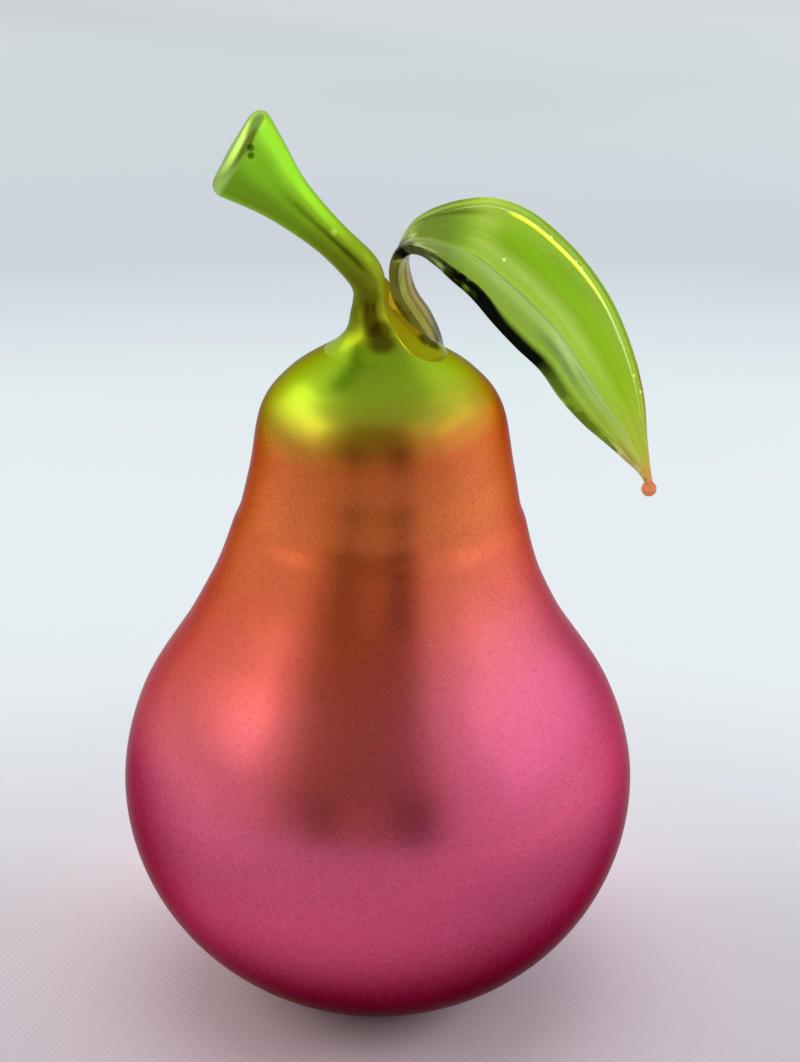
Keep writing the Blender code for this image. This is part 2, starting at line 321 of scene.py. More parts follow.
# %% The two rims of the leaf, from root to tip
LEAF_FRONT = [
    (0.0124, -0.0062, 0.1436),
    (0.0094, -0.0065, 0.1496),
    (0.0064, -0.0055, 0.1537),
    (0.0038, -0.0045, 0.1581),
    (0.0032, -0.0045, 0.1627),
    (0.0038, -0.0055, 0.1660),
    (0.0058, -0.0070, 0.1683),
    (0.0086, -0.0085, 0.1683),
    (0.0113, -0.0105, 0.1670),
    (0.0148, -0.0130, 0.1645),
    (0.0191, -0.0145, 0.1611),
    (0.0236, -0.0155, 0.1561),
    (0.0282, -0.0160, 0.1513),
    (0.0328, -0.0160, 0.1468),
    (0.0368, -0.0150, 0.1406),
    (0.0412, -0.0135, 0.1351),
    (0.0457, -0.0120, 0.1305),
    (0.0501, -0.0100, 0.1259),
    (0.0532, -0.0085, 0.1225),
    (0.0549, -0.0078, 0.1200),
    (0.0554, -0.0075, 0.1182),
]
LEAF_BACK = [
    (0.0132, 0.0015, 0.1430),
    (0.0123, 0.0015, 0.1485),
    (0.0103, 0.0025, 0.1530),
    (0.0076, 0.0030, 0.1570),
    (0.0060, 0.0030, 0.1617),
    (0.0057, 0.0030, 0.1657),
    (0.0061, 0.0030, 0.1682),
    (0.0076, 0.0035, 0.1712),
    (0.0109, 0.0045, 0.1735),
    (0.0168, 0.0060, 0.1753),
    (0.0236, 0.0070, 0.1757),
    (0.0309, 0.0080, 0.1729),
    (0.0382, 0.0080, 0.1669),
    (0.0438, 0.0075, 0.1605),
    (0.0484, 0.0055, 0.1535),
    (0.0520, 0.0030, 0.1449),
    (0.0542, 0.0000, 0.1366),
    (0.0550, -0.0030, 0.1281),
    (0.0556, -0.0055, 0.1233),
    (0.0560, -0.0064, 0.1198),
    (0.0560, -0.0066, 0.1181),
]
LEAF_ROWS, LEAF_RING = 200, 96
front_curve, back_curve = smooth(LEAF_FRONT, STEPS_PER_KNOT), smooth(LEAF_BACK, STEPS_PER_KNOT)
leaf_line = (front_curve + back_curve) / 2
front_rim = evenly_spaced(front_curve, leaf_line, LEAF_ROWS)
back_rim = evenly_spaced(back_curve, leaf_line, LEAF_ROWS)
leaf_way = np.gradient((front_rim + back_rim) / 2, axis=0)
leaf_width = np.linalg.norm(back_rim - front_rim, axis=1)
print("leaf is", round(float(leaf_width.max()), 4), "m across at its widest")

# %% The section of the leaf
MIDRIB_PLACE = -0.12
MIDRIB_DEPTH = 0.105
RIM_CREST = 0.040
RIM_DROP = 0.020
RIM_ROLL, RIM_ROLL_PLACE, RIM_ROLL_WIDTH = 0.45, 0.90, 0.06
LEAF_SQUARENESS, LEAST_SQUARENESS = 1.4, 3.0
LEAF_ALONG = [0.00, 0.28, 0.45, 0.80, 1.00]
LEAF_BOW = [0.25, 0.35, 1.00, 1.00, 0.00]
LEAF_THICKNESS = [2.8 * MM, 2.8 * MM, 2.3 * MM, 2.1 * MM, 1.6 * MM]
leaf_shares = np.linspace(0.0, 1.0, LEAF_ROWS + 1)
leaf_bows = np.interp(leaf_shares, LEAF_ALONG, LEAF_BOW)
leaf_thick = np.interp(leaf_shares, LEAF_ALONG, LEAF_THICKNESS)


def leaf_bow(place):
    reach = 1 - MIDRIB_PLACE if place > MIDRIB_PLACE else 1 + MIDRIB_PLACE
    out = abs(place - MIDRIB_PLACE) / reach
    crest = RIM_CREST * 4 * out * out * (1 - out)
    return crest - MIDRIB_DEPTH * (1 - out) ** 2 - RIM_DROP * out**6


def leaf_point(row, turn):
    place = math.cos(turn) + MIDRIB_PLACE * math.sin(turn) ** 2
    across = back_rim[row] - front_rim[row]
    up = np.cross(leaf_way[row], across)
    up = up / np.linalg.norm(up)
    squareness = max(LEAST_SQUARENESS, LEAF_SQUARENESS * leaf_width[row] / leaf_thick[row])
    flat = math.sqrt(max(0.0, 1 - abs(place) ** squareness))
    from_roll = (abs(place) - RIM_ROLL_PLACE) / RIM_ROLL_WIDTH
    roll = 1 + RIM_ROLL * leaf_bows[row] * math.exp(-(from_roll**2))
    face = math.copysign(flat * roll, math.sin(turn)) * leaf_thick[row] / 2
    lift = leaf_bow(place) * leaf_bows[row] * leaf_width[row] + face
    return Vector(front_rim[row] + across * (place + 1) / 2 + up * lift)


# %% The tongue that roots the leaf: X, Y, height and radius
TONGUE = [
    (0.0014, -0.0010, 0.1612, 0.0004),
    (0.0018, -0.0013, 0.1598, 0.0010),
    (0.0025, -0.0018, 0.1573, 0.0014),
    (0.0041, -0.0028, 0.1537, 0.0020),
    (0.0062, -0.0046, 0.1509, 0.0024),
    (0.0086, -0.0062, 0.1486, 0.0025),
    (0.0111, -0.0058, 0.1473, 0.0022),
    (0.0128, -0.0040, 0.1464, 0.0015),
    (0.0134, -0.0030, 0.1459, 0.0006),
]
TONGUE_ROWS, TONGUE_RING, TONGUE_STEPS = 48, 32, 8
tongue_curve = smooth(TONGUE, TONGUE_STEPS)
tongue_line = evenly_spaced(tongue_curve, tongue_curve[:, :3], TONGUE_ROWS)
tongue_way = np.gradient(tongue_line[:, :3], axis=0)


def tongue_point(row, turn):
    way = Vector(tongue_way[row]).normalized()
    side = way.cross(Vector((0, 1, 0))).normalized()
    out = side * math.cos(turn) + side.cross(way) * math.sin(turn)
    return Vector(tongue_line[row][:3]) + out * tongue_line[row][3]


# %% Fuse strap, tongue and tip bead into one piece of glass
TIP_BEAD_CENTRE = Vector((0.0557, -0.0070, 0.1182))
TIP_BEAD_RADIUS = 1.6 * MM
BEAD_SEGMENTS, BEAD_RINGS = 32, 20


def fused(base, others):
    for other in others:
        join = base.modifiers.new("fuse", "BOOLEAN")
        join.operation = "UNION"
        join.object = other
    bpy.context.view_layer.update()
    joined = base.evaluated_get(bpy.context.evaluated_depsgraph_get())
    mesh = bpy.data.meshes.new_from_object(joined)
    for other in others:
        bpy.data.objects.remove(other)
    base.modifiers.clear()
    base.data = mesh
    mesh.shade_smooth()
    print(base.name, "fused, has", len(mesh.polygons), "faces")
    return base


tongue = loose_piece("tongue", wrapped_tube(TONGUE_ROWS, TONGUE_RING, tongue_point))
tongue.data.uv_layers["chart"].name = "root_chart"
bm = bmesh.new()
bmesh.ops.create_uvsphere(bm, u_segments=BEAD_SEGMENTS, v_segments=BEAD_RINGS, radius=TIP_BEAD_RADIUS)
bmesh.ops.translate(bm, verts=bm.verts, vec=TIP_BEAD_CENTRE)
bead = loose_piece("tip_bead", bm)
leaf = finish_piece("folded_leaf", wrapped_tube(LEAF_ROWS, LEAF_RING, leaf_point), "leaf")
leaf = fused(leaf, [tongue, bead])
# The leaf's mirror image would be a dark wedge on the shoulder, so the body doesn't mirror it.
leaf.visible_glossy = False

# %% [markdown]
# Finishes come next. Shader maths is easier to read as a formula than as a web of boxes, so one small
# class wraps a socket: adding or multiplying it adds a Math node, and its node method makes any other
# node from its type, its settings and what goes into it. Colours are written as red, green and blue.


# %% Shader maths as formulas
def set_value(socket, value):
    socket.default_value = (*value, 1.0) if socket.type == "RGBA" else value


class Shade:
    def __init__(self, tree, socket=None):
        self.tree = tree
        self.socket = socket

    def node(self, kind, settings=None, inputs=None, out=0):
        made = self.tree.nodes.new(kind)
        for key, value in (settings or {}).items():
            if key == "stops":
                stops = made.color_ramp.elements
                while len(stops) < len(value):
                    stops.new(0.5)
                for stop, (place, colour) in zip(stops, value):
                    stop.position = place
                    stop.color = (*colour, 1.0)
            else:
                setattr(made, key, value)
        for key, value in (inputs or {}).items():
            if isinstance(value, Shade):
                self.tree.links.new(value.socket, made.inputs[key])
            else:
                set_value(made.inputs[key], value)
        return Shade(self.tree, made.outputs[out])

    def math(self, operation, *values):
        return self.node("ShaderNodeMath", {"operation": operation}, dict(enumerate(values)))

    def __add__(self, other):
        return self.math("ADD", self, other)

    def __sub__(self, other):
        return self.math("SUBTRACT", self, other)

    def __rsub__(self, other):
        return self.math("SUBTRACT", other, self)

    def __mul__(self, other):
        return self.math("MULTIPLY", self, other)

    def __truediv__(self, other):
        return self.math("DIVIDE", self, other)

    def __neg__(self):
        return self.math("MULTIPLY", self, -1.0)

    __radd__ = __add__
    __rmul__ = __mul__

    def axis(self, index):
        return self.node("ShaderNodeSeparateXYZ", {}, {0: self}, out=index)

    def rise(self, low, high):
        """0 below low, 1 above high, eased in between."""
        return self.node(
            "ShaderNodeMapRange", {"interpolation_type": "SMOOTHSTEP"},
            {"Value": self, "From Min": low, "From Max": high},
        )

    def fall(self, low, high):
        """1 below low, 0 above high, eased in between."""
        return 1 - self.rise(low, high)

    def blend(self, amount, one, other, way="MIX"):
        """A colour from one to the other."""
        return self.node(
            "ShaderNodeMix", {"data_type": "RGBA", "blend_type": way}, {0: amount, 6: one, 7: other}, out=2
        )

    def tint(self, amount, colour, stain_and_shade):
        """A colour darkened by another. It makes the etched mottle and a patch of painted shade."""
        return self.blend(amount, colour, stain_and_shade, "MULTIPLY")


# %% Noise, which drifts or is grainy, a ramp of colours, and fine bumps
def noise(place, scale, detail, roughness=0.5, dimensions="3D"):
    return place.node(
        "ShaderNodeTexNoise", {"noise_dimensions": dimensions},
        {"Vector": place, "Scale": scale, "Detail": detail, "Roughness": roughness},
    )


def ramp(value, stops):
    return value.node("ShaderNodeValToRGB", {"stops": stops}, {0: value})


def relief(height, strength, depth):
    return height.node("ShaderNodeBump", {}, {"Height": height, "Strength": strength, "Distance": depth})


# %% A new finish, with its shader's constant values
def new_finish(name, **constants):
    made = bpy.data.materials.new(name)
    made.use_nodes = True
    shader = made.node_tree.nodes["Principled BSDF"]
    for key, value in constants.items():
        set_value(shader.inputs[key.replace("_", " ")], value)
    place = Shade(made.node_tree).node("ShaderNodeTexCoord", out="Object")
    return made, shader, place


def feed(shader, name, value):
    value.tree.links.new(value.socket, shader.inputs[name])


def wear(piece, finish):
    piece.data.materials.clear()
    piece.data.materials.append(finish)
    print(piece.name, "wears", finish.name)


# %% [markdown]
# The body's skin is a metallic lustre, sprayed on hot and then etched to satin. It mirrors the room,
# blurred, in its own colour, so it is a metal to the shader: the colour bands go in Base Color, and
# most of the light and dark shapes come from the room itself. The bands run from yellow-green at the
# shoulder through orange and coral to magenta at the foot. They lean a little, and drift like smoke.
# Two dark shapes are painted shade in the colour: the lowest bands darken to plum, for the contact
# shadow that the foot mirrors, and a patch low on the left of the belly is dimmed.

# %% The colour bands of the body, from the foot up, with painted shade at the foot and low on the left
BODY_BANDS_TOP = 150 * MM
# The lowest bands darken to plum towards the foot: painted shade, the floor's contact shadow as the lustre
# mirrors it.
BODY_BANDS_AND_FOOT_SHADE = [
    (0.00, (0.19, 0.008, 0.028)),
    (0.08, (0.27, 0.013, 0.050)),
    (0.16, (0.45, 0.027, 0.096)),
    (0.24, (0.66, 0.074, 0.180)),
    (0.32, (0.83, 0.098, 0.215)),
    (0.42, (0.81, 0.110, 0.230)),
    (0.50, (0.86, 0.135, 0.232)),
    (0.57, (0.89, 0.152, 0.178)),
    (0.63, (0.92, 0.152, 0.115)),
    (0.70, (0.90, 0.155, 0.065)),
    (0.78, (0.86, 0.185, 0.042)),
    (0.86, (0.74, 0.150, 0.028)),
    (0.885, (0.63, 0.240, 0.026)),
    (0.915, (0.52, 0.480, 0.028)),
    (0.945, (0.44, 0.650, 0.026)),
    (1.00, (0.30, 0.500, 0.014)),
]
SMOKE_SCALE = 30.0
SMOKE_DRIFT = 6 * MM

satin, shader, place = new_finish("satin_lustre", Metallic=1.0, Specular_Tint=(0.50, 0.30, 0.32))
x, z = place.axis(0), place.axis(2)
lean = 0.10 + 0.18 * z.fall(90 * MM, 125 * MM)
height = z - x * lean + (noise(place, SMOKE_SCALE, 2.0) - 0.5) * SMOKE_DRIFT
bands_and_shade = ramp(height / BODY_BANDS_TOP, BODY_BANDS_AND_FOOT_SHADE)
# Painted shade: the belly's low left is dimmed, darkening the floor that it mirrors there.
low_left_shade = x.fall(-50 * MM, -33 * MM) * z.fall(58 * MM, 71 * MM)
bands_and_shade = place.tint(low_left_shade, bands_and_shade, (0.66, 0.46, 0.58))

# %% [markdown]
# Etching leaves a grain, paler where it bites, and a coarser mottle that is a little darker. The
# shoulder was etched less, so both are fainter there.

# %% The etched grain of the body
MOTTLE_SCALE, GRAIN_SCALE = 900.0, 2600.0
GRAIN_DEPTH = 0.1 * MM
GRAIN_STRENGTH = 0.02
ETCH_FADES = (115 * MM, 146 * MM)
SATIN_ROUGHNESS = 0.265

etched = z.fall(*ETCH_FADES)
mottle = noise(place, MOTTLE_SCALE, 4.0, roughness=0.7)
bands_and_shade = place.tint(mottle.rise(0.50, 0.68) * etched * 0.5, bands_and_shade, (0.78, 0.66, 0.72))
grain = noise(place, GRAIN_SCALE, 2.0)
bitten = grain.rise(0.35, 0.70) * (0.03 + 0.15 * etched)
pale = place.blend(0.35, bands_and_shade, (1.0, 0.80, 0.80))
feed(shader, "Base Color", place.blend(bitten, bands_and_shade, pale))
feed(shader, "Roughness", SATIN_ROUGHNESS + grain * 0.02)
feed(shader, "Normal", relief(grain, GRAIN_STRENGTH, GRAIN_DEPTH))
wear(body, satin)

# %% [markdown]
# The stem has the same satin lustre, over green glass: bright green at the sheared end, olive where it
# was bent, and the shoulder's own green at the foot, so the joint doesn't show. A few specks of ash and
# one seed are caught in it, as in most glass that was worked by hand, and the seed is painted as a
# bright glint. The rest is painted light: brown marks on the front of the root are a painted dark
# reflection of the front of the room, the side turned from the light is painted shade, and the rim of
# the sheared end is paler, partly its own glass and partly a painted highlight.

# %% The stem's colour bands, marks in its glass, painted shade, reflection and highlights
STEM_BANDS_SPAN = 47 * MM
STEM_BANDS = [
    (0.00, (0.38, 0.590, 0.019)),
    (0.07, (0.36, 0.440, 0.014)),
    (0.16, (0.27, 0.280, 0.010)),
    (0.32, (0.25, 0.260, 0.010)),
    (0.42, (0.28, 0.370, 0.014)),
    (0.55, (0.33, 0.600, 0.022)),
    (0.75, (0.35, 0.760, 0.028)),
    (1.00, (0.36, 0.780, 0.034)),
]
STEM_SMOKE_SCALE, STEM_GRAIN_SCALE = 110.0, 2200.0
STEM_SMOKE_DRIFT = 4 * MM
STEM_GRAIN_STRENGTH = 0.08
STEM_BRIGHT_SIDE_DEGREES = 320
# Brown marks on the front of the root: a painted dark reflection of the front of the room.
BROWN_REFLECTION_MARKS = [
    ((0.0010, -0.0064, 0.1486), 3.8 * MM, 1.0),
    ((0.0006, -0.0052, 0.1512), 3.2 * MM, 1.0),
    ((-0.0018, -0.0036, 0.1578), 3.0 * MM, 0.45),
]
ASH_SPECKS = [(-0.0245, -0.0056, 0.1888), (-0.0245, -0.0056, 0.1873)]
ASH_RADIUS = 1.0 * MM
# A seed, a small bubble in the glass, painted as a bright glint.
STEM_SEED_GLINT = (-0.0085, -0.0030, 0.1712)
STEM_SEED_GLINT_RADIUS = 0.9 * MM


# %% Round marks, and coats of paint, each with the mask that says where it covers
def mark(place, centre, radius):
    gap = place.node("ShaderNodeVectorMath", {"operation": "DISTANCE"}, {0: place, 1: centre}, out="Value")
    return gap.fall(radius * 0.45, radius)


def most(masks):
    """The strongest of several masks."""
    strongest, *others = masks
    for other in others:
        strongest = strongest.math("MAXIMUM", strongest, other)
    return strongest


def paint(ground, coats):
    for mask, colour in coats:
        ground = mask.blend(mask, ground, colour)
    return ground


# %% The satin green of the stem
stem_satin, shader, place = new_finish(
    "stem_lustre", Metallic=1.0, Roughness=0.25, Specular_Tint=(0.70, 0.75, 0.60)
)
chart = place.node("ShaderNodeUVMap", {"uv_map": "chart"})
x, z = place.axis(0), place.axis(2)
height = z + (noise(place, STEM_SMOKE_SCALE, 2.0) - 0.5) * STEM_SMOKE_DRIFT
facing = place.math("COSINE", chart.axis(1) * (2 * math.pi) - math.radians(STEM_BRIGHT_SIDE_DEGREES))
shaded_side = facing.fall(0.30, 0.90) * z.rise(147 * MM, 154 * MM)
# The sheared end's rim and face are paler: partly its own glass, partly a painted highlight on the rim.
sheared_end_and_highlight = chart.axis(0).rise(0.850, 0.870)
dark_reflection = most(mark(place, centre, radius) * strength for centre, radius, strength in BROWN_REFLECTION_MARKS)
foot_left = x.fall(-13 * MM, -7 * MM) * z.fall(148 * MM, 152 * MM)
ash = most(mark(place, centre, ASH_RADIUS) for centre in ASH_SPECKS)
green = paint(ramp((height - TOP_HEIGHT) / STEM_BANDS_SPAN, STEM_BANDS), [
    (shaded_side * 0.40, (0.05, 0.100, 0.002)),
    (sheared_end_and_highlight * 0.45, (0.62, 0.780, 0.260)),
    (dark_reflection * 0.8, (0.10, 0.060, 0.003)),
    (foot_left * 0.8, (0.48, 0.440, 0.012)),
    (ash * 0.8, (0.05, 0.100, 0.004)),
    (mark(place, STEM_SEED_GLINT, STEM_SEED_GLINT_RADIUS) * 0.7, (0.62, 0.950, 0.080)),
])
feed(shader, "Base Color", green)
feed(shader, "Normal", relief(noise(place, STEM_GRAIN_SCALE, 3.0), STEM_GRAIN_STRENGTH, GRAIN_DEPTH))
wear(stem, stem_satin)

# %% [markdown]
# The leaf is clear glass, so its colour is what the light loses on its way through. Where the strap is
# thin it is pale, and where it is folded or rolled it is darker. Part of its colour is painted light:
# painted shade along its creases and inside the back rim, a painted dark reflection on the front half,
# a painted highlight where the strap turns over, and painted shade that takes the front rim down to
# black-green. The root is amber from the reheating, and the tip is coral, because the maker drew it
# out with a bit of another colour. The pattern follows the chart that the grid left: how far along the
# strap a point is, and how far across from its front rim to its back rim. The tongue brings a second
# chart of its own, and each chart is blank on the other part.

# %% Where a point is on the leaf
clear, shader, place = new_finish(
    "leaf_glass", Roughness=0.05, IOR=1.25, Transmission_Weight=0.9, Emission_Strength=1.0,
    Specular_Tint=(0.35, 0.42, 0.10),
)
chart = place.node("ShaderNodeUVMap", {"uv_map": "chart"})
along = chart.axis(0)
around = place.math("COSINE", chart.axis(1) * (2 * math.pi))
across = around + (1 - around * around) * MIDRIB_PLACE
upper = chart.axis(1).fall(0.495, 0.505)


# %% Stripes and streaks that follow the chart
def stripe(value, centre, half, soft):
    low, high = centre - half, centre + half
    return value.rise(low - soft, low + soft) * value.fall(high - soft, high + soft)


def flat_noise(u, v, detail):
    return noise(u.node("ShaderNodeCombineXYZ", {}, {0: u, 1: v}), 1.0, detail, dimensions="2D")


# %% The glass of the blade, band by band, with painted shade, reflection and highlights
pale_band = stripe(across, 0.08, 0.07, 0.07) * along.rise(0.37, 0.42)
low_band = stripe(across, -0.40, 0.05, 0.10) * along.rise(0.36, 0.42)
deep_band = stripe(across, 0.38, 0.12, 0.08) * along.rise(0.36, 0.48)
# Painted shade along the midrib crease.
midrib_shade = stripe(across, -0.21, 0.028, 0.030) * along.rise(0.36, 0.42)
# Painted reflection: a dark bluish streak on the front half.
dark_reflection_streak = stripe(across, -0.66, 0.07, 0.09) * stripe(along, 0.65, 0.06, 0.05)
# Painted shade along a side crease in the front half.
crease_shade = stripe(across, -0.43, 0.08, 0.09) * along.rise(0.66, 0.72) * along.fall(0.84, 0.92)
rim_green = stripe(across, 0.85, 0.05, 0.03) * along.rise(0.44, 0.52)
# A painted highlight across the strap where it turns over into the blade.
turn_highlight = stripe(along, 0.408, 0.015, 0.030) * across.rise(-0.1, 0.3)
blade = place.blend(across.rise(-0.9, 0.2), (0.35, 0.520, 0.040), (0.46, 0.720, 0.050))
blade = paint(blade, [
    (along.fall(0.33, 0.40), (0.27, 0.380, 0.040)),
    (pale_band, (0.66, 0.860, 0.150)),
    (low_band * 0.9, (0.50, 0.690, 0.080)),
    (deep_band, (0.37, 0.700, 0.015)),
    (upper * midrib_shade * 0.9, (0.08, 0.160, 0.004)),
    (upper * dark_reflection_streak * 0.9, (0.06, 0.110, 0.030)),
    (upper * crease_shade * 0.9, (0.11, 0.180, 0.004)),
    (rim_green * 0.7, (0.30, 0.500, 0.015)),
    (across.rise(0.90, 0.94), (0.66, 0.860, 0.160)),
    # A thin dark outline along the back rim, painted shade.
    (across.rise(0.965, 0.985) * 0.8, (0.10, 0.180, 0.010)),
    (turn_highlight * 0.8, (0.74, 0.900, 0.130)),
    (along.rise(0.62, 0.82) * 0.5, (0.42, 0.540, 0.015)),
])

# %% The glass of the riser, the streaks in both, and a painted shadow inside the rim
riser = place.blend(across.rise(-0.4, 0.1), (0.16, 0.130, 0.004), (0.44, 0.290, 0.020))
riser = paint(riser, [(along.fall(0.04, 0.12), (0.15, 0.100, 0.003))])
streaks = flat_noise(along * 4.0, across * 6.0, 3.0)
# A painted shadow inside the back rim, before the turn.
inner_rim_shadow = stripe(across, 0.58, 0.06, 0.06) * along.rise(0.24, 0.30) * along.fall(0.36, 0.44)
glass = paint(place.blend(along.rise(0.21, 0.29), riser, blade), [
    (streaks.rise(0.45, 0.75) * 0.35, (0.22, 0.360, 0.010)),
    (upper * inner_rim_shadow * 0.8, (0.07, 0.100, 0.003)),
])

# %% Amber at the root, coral at the tip, and painted shade at the root's end and the tip's front
x, z = place.axis(0), place.axis(2)
root = place.node("ShaderNodeUVMap", {"uv_map": "root_chart"})
root_along, root_around = root.axis(0), root.axis(1)
tongue_part = x.fall(13.5 * MM, 14.5 * MM) * along.fall(0.01, 0.02)
# Painted shade: the end of the root is darkened to a dark amber.
root_end_shade = root_along.rise(0.62, 0.68) * root_along.fall(0.80, 0.86) * root_around.rise(0.82, 0.88)
# Painted shade: the front rim near the tip is darker brown, carrying on the dark roll.
tip_front_shade = along.rise(0.84, 0.91) * across.fall(-0.85, -0.50)
glass = paint(glass, [
    (tongue_part, (0.50, 0.320, 0.008)),
    (root_end_shade, (0.10, 0.065, 0.002)),
    (along.rise(0.80, 0.93) * 0.6, (0.56, 0.520, 0.050)),
    (tip_front_shade * 0.8, (0.28, 0.150, 0.010)),
    (along.rise(0.92, 0.97), (0.74, 0.400, 0.070)),
    (z.fall(118.5 * MM, 121.5 * MM) * x.rise(50 * MM, 53 * MM), (0.95, 0.300, 0.120)),
])
feed(shader, "Base Color", glass)

# %% Painted light: the lit line by the rim, the lit edge of the root, bubble glints, a glowing tongue
BUBBLES = [
    (0.0254, -0.0026, 0.1655),
    (0.0351, 0.0043, 0.1682),
    (0.0402, 0.0041, 0.1631),
    (0.0414, 0.0040, 0.1618),
    (0.0523, -0.0012, 0.1407),
    (0.0537, -0.0017, 0.1374),
]
BUBBLE_RADIUS = 0.45 * MM
RIPPLE_STRENGTH, RIPPLE_DEPTH = 0.25, 0.4 * MM

root_line = stripe(root_around, 0.60, 0.012, 0.008) * stripe(root_along, 0.70, 0.18, 0.08)
lit_line = upper * stripe(across, 0.71, 0.030, 0.020) * along.rise(0.43, 0.46) * along.fall(0.58, 0.72)
bubble_glints = most(mark(place, centre, BUBBLE_RADIUS) for centre in BUBBLES)
# The tongue glows a faint amber, and the lines and bubbles glow bright: all painted light.
glow = place.blend(tongue_part, (0.0, 0.0, 0.0), (0.05, 0.036, 0.001))
glow = paint(glow, [
    (root_line, (0.75, 0.700, 0.050)),
    (lit_line, (0.80, 0.900, 0.000)),
    (bubble_glints, (0.40, 0.500, 0.200)),
])
ripple = relief(streaks, RIPPLE_STRENGTH, RIPPLE_DEPTH)
feed(shader, "Emission Color", glow)
feed(shader, "Normal", ripple)

# %% [markdown]
# Where the glass is folded on itself it is thick, and there it is dark, partly from the thick glass and
# partly as painted shade: in the roll along the front rim, the fold at the turn, the two edges of the
# riser and the end of the root. A second, opaque shader paints this shade, and a mask mixes it in.
# Flecks of clear glass break the roll, and on the riser and the root the painted shade is a dark amber.


# %% Where the glass is dark: thick glass and painted shade
def rolled_rim_and_shade():
    width = along.fall(0.38, 0.50) * 0.08 + 0.08
    near_rim = 1 - (across + 1 - width).rise(-0.03, 0.03)
    strong = near_rim * (along.rise(0.23, 0.26) * 0.85 + along.rise(0.32, 0.37) * 0.15)
    faded = strong * (1 - along.rise(0.60, 0.68) * 0.45 - along.rise(0.74, 0.90) * 0.25)
    flecks = flat_noise(along * 22.0, across * 9.0, 3.0)
    broken = along.rise(0.29, 0.32) * along.fall(0.38, 0.44) + along.rise(0.60, 0.66)
    return faded * (1 - flecks.rise(0.48, 0.62) * broken * 0.6)


# The fold at the turn and the riser's two edges are dark partly from thick glass, partly as painted shade.
fold_and_shade = stripe(along, 0.252, 0.014, 0.010) * across.fall(-0.05, 0.30)
riser_part = along.rise(0.02, 0.03) * along.fall(0.22, 0.25)
riser_edge_shade = (across.rise(0.86, 0.94) * 0.8 + across.fall(-0.94, -0.80) * 0.75) * riser_part
dark = most([rolled_rim_and_shade(), fold_and_shade, riser_edge_shade, root_end_shade * 0.85])

# %% The opaque painted shade, mixed in where the glass is dark
shade_colour = place.blend(most([riser_part, root_end_shade]), (0.003, 0.005, 0.001), (0.125, 0.098, 0.002))
painted_shade = place.node(
    "ShaderNodeBsdfPrincipled", {},
    {"Base Color": shade_colour, "Roughness": 0.2, "IOR": 1.12, "Normal": ripple},
)
bare = Shade(clear.node_tree, shader.outputs[0])
mixed = place.node("ShaderNodeMixShader", {}, {0: dark, 1: bare, 2: painted_shade})
feed(clear.node_tree.nodes["Material Output"], "Surface", mixed)
wear(leaf, clear)

# %% [markdown]
# The room: a pale seamless floor, and a world that stands in for a soft studio. Big pale panels are
# at the left and right, the ceiling is dimmer, and the dark part of the room is in front, where the
# picture is taken from. The lustre mirrors it as the brown shadow down the middle of the pear. The
# camera itself sees one plain tone, straight on and through the clear glass.

# %% The pale floor, with soft rings of painted shade and tone round a point before the pear
FLOOR_REACH = 4.0
RINGS_BEFORE_PEAR = 0.20
RINGS_REACH = 1.6
# Painted shade: the floor is darkest in front of the pear, where the dark front of the room shades it.
FLOOR_TONES_AND_SHADE = [
    (0.00, (0.50, 0.490, 0.565)),
    (0.10, (0.52, 0.510, 0.585)),
    (0.15, (0.59, 0.590, 0.645)),
    (0.225, (0.68, 0.730, 0.770)),
    (0.39, (0.66, 0.730, 0.760)),
    (0.45, (0.60, 0.660, 0.710)),
    (0.51, (0.55, 0.605, 0.655)),
    (0.60, (0.61, 0.665, 0.715)),
    (0.75, (0.70, 0.760, 0.810)),
    (0.92, (0.80, 0.860, 0.920)),
]
WEAVE_SCALE = 290.0

bm = bmesh.new()
bmesh.ops.create_grid(bm, x_segments=1, y_segments=1, size=FLOOR_REACH)
floor = loose_piece("floor", bm)
cloth, shader, place = new_finish("pale_cloth", Roughness=0.9, Specular_IOR_Level=0.1)
sideways, away = place.axis(0), place.axis(1) + RINGS_BEFORE_PEAR
distance = place.math("SQRT", sideways * sideways + away * away)
near = place.node("ShaderNodeVectorMath", {"operation": "LENGTH"}, {0: place}, out="Value")
cloth_fold_shade = flat_noise(sideways * 1.6 + away * 0.9, away * 2.6, 1.0)
weave = place.node(
    "ShaderNodeTexWave", {"bands_direction": "DIAGONAL"}, {"Vector": place, "Scale": WEAVE_SCALE}
)
tone = paint(ramp(distance / RINGS_REACH, FLOOR_TONES_AND_SHADE), [
    # Painted light: a pale pink pool round the foot, for the light that the pear throws on the cloth.
    (near.fall(0.025, 0.125), (0.80, 0.68, 0.76)),
    # Painted shade of folds in the cloth, away from the pear.
    (cloth_fold_shade.rise(0.40, 0.70) * distance.rise(0.25, 0.6) * 0.35, (0.50, 0.55, 0.60)),
    (weave * near.fall(0.10, 0.35) * 0.08, (0.35, 0.32, 0.36)),
])
feed(shader, "Base Color", tone)
wear(floor, cloth)

# %% The walls of the studio, by degrees to the right of the front
WALL_TONES = [
    (-180, (0.80, 0.80, 0.80)),
    (-130, (0.86, 0.86, 0.84)),
    (-75, (0.74, 0.71, 0.66)),
    (-52, (0.62, 0.57, 0.48)),
    (-44, (0.42, 0.37, 0.24)),
    (-33, (0.24, 0.20, 0.09)),
    (-10, (0.25, 0.22, 0.11)),
    (5, (0.25, 0.21, 0.12)),
    (20, (0.23, 0.18, 0.12)),
    (27, (0.34, 0.28, 0.22)),
    (36, (0.66, 0.64, 0.66)),
    (60, (0.74, 0.78, 0.84)),
    (110, (0.82, 0.84, 0.86)),
    (180, (0.80, 0.80, 0.80)),
]
CAMERA_SEES = (0.66, 0.72, 0.76)

